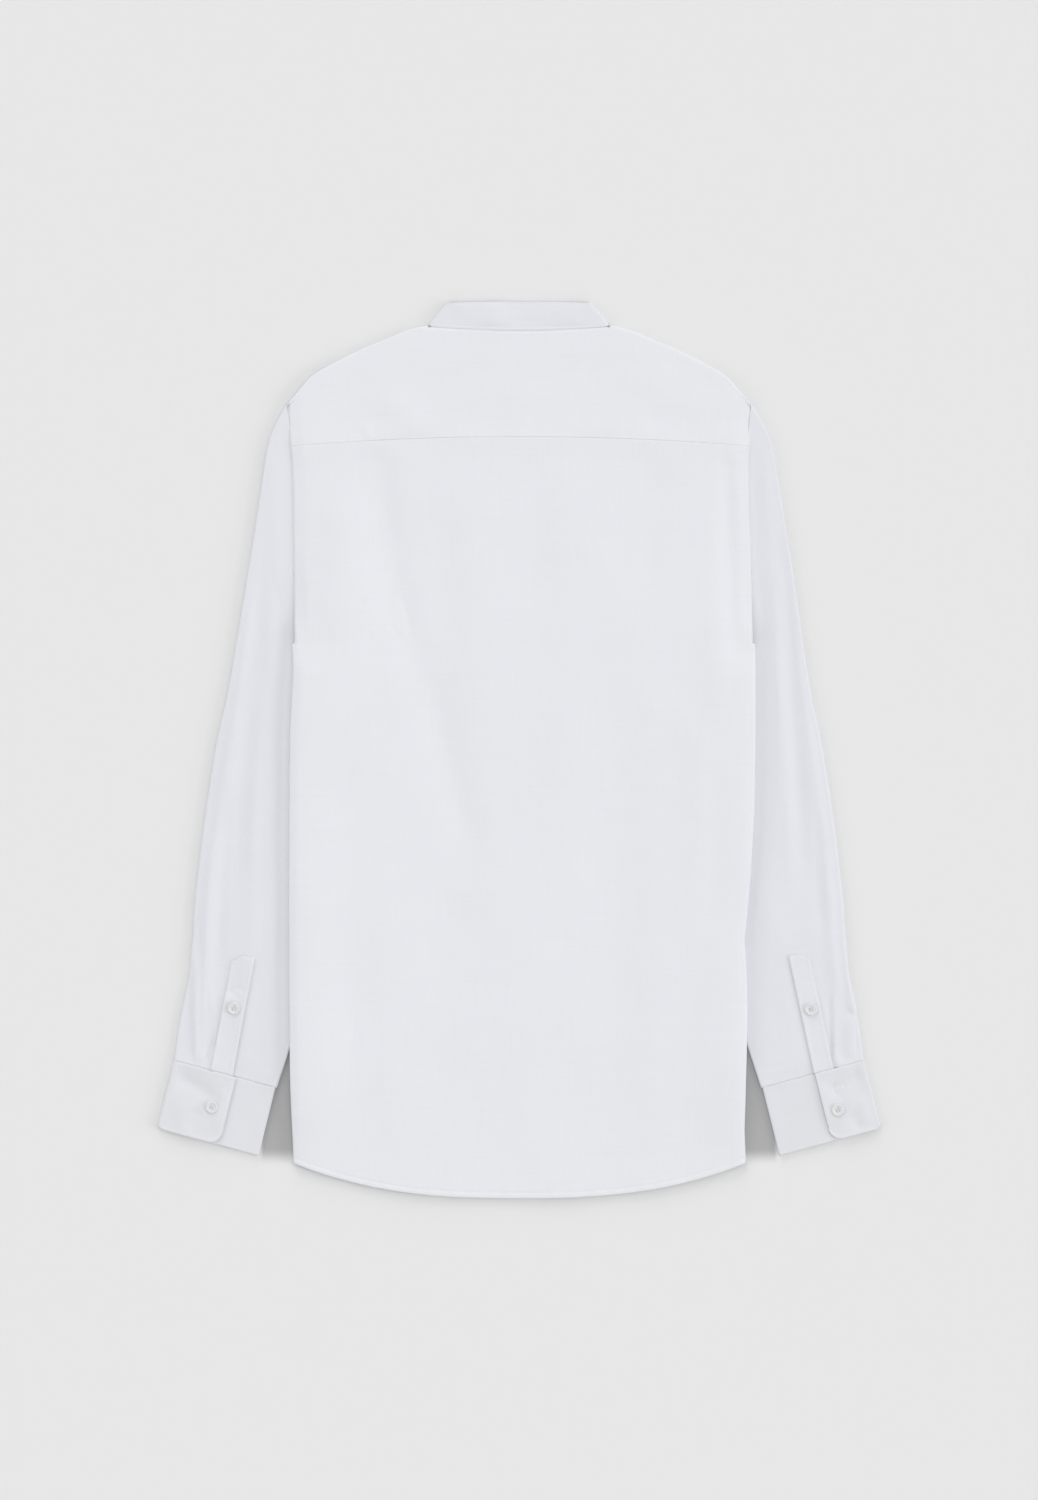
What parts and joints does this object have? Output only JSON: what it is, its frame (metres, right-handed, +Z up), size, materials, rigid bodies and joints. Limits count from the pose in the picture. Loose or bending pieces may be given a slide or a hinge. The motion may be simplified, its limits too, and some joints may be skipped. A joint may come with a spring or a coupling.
{
  "type": "mandarin collar shirt",
  "caption": "Long-sleeved shirt with a stand collar, laid flat with its back up: yoke, turned-under sides, sleeve plackets and buttoned cuffs; a soft prop to lay on a surface",
  "frame": {"origin": "on the ground under the middle of the laid-out shirt", "axes": "+Y runs from the hem to the collar, +X is to the right as seen from above on the shirt's back, +Z is up"},
  "size_m": [0.6346, 0.7885, 0.0083],
  "materials": {
    "shirt_cloth": "white cotton and linen weave with fine slubs, soft and matt",
    "collar_cloth": "same cloth doubled over interlining, flat and firm",
    "cuff_cloth": "same cloth doubled, edge-stitched",
    "button_pearl": "pearl-white shirt button, polished"
  },
  "bodies": {
    "root": {"back_panel": "shirt_cloth", "back_yoke": "shirt_cloth", "front_left": "shirt_cloth", "front_right": "shirt_cloth", "collar_band": "collar_cloth", "sleeve_left": "shirt_cloth", "sleeve_right": "shirt_cloth", "cuff_left": "cuff_cloth", "cuff_right": "cuff_cloth", "sleeve_placket_left": "cuff_cloth", "sleeve_placket_right": "cuff_cloth", "sleeve_button_left": "button_pearl", "sleeve_button_right": "button_pearl", "cuff_button_left": "button_pearl", "cuff_button_right": "button_pearl", "front_button_1": "button_pearl", "front_button_2": "button_pearl", "front_button_3": "button_pearl", "front_button_4": "button_pearl", "front_button_5": "button_pearl", "front_button_6": "button_pearl", "collar_button": "button_pearl"}
  },
  "joints": []
}
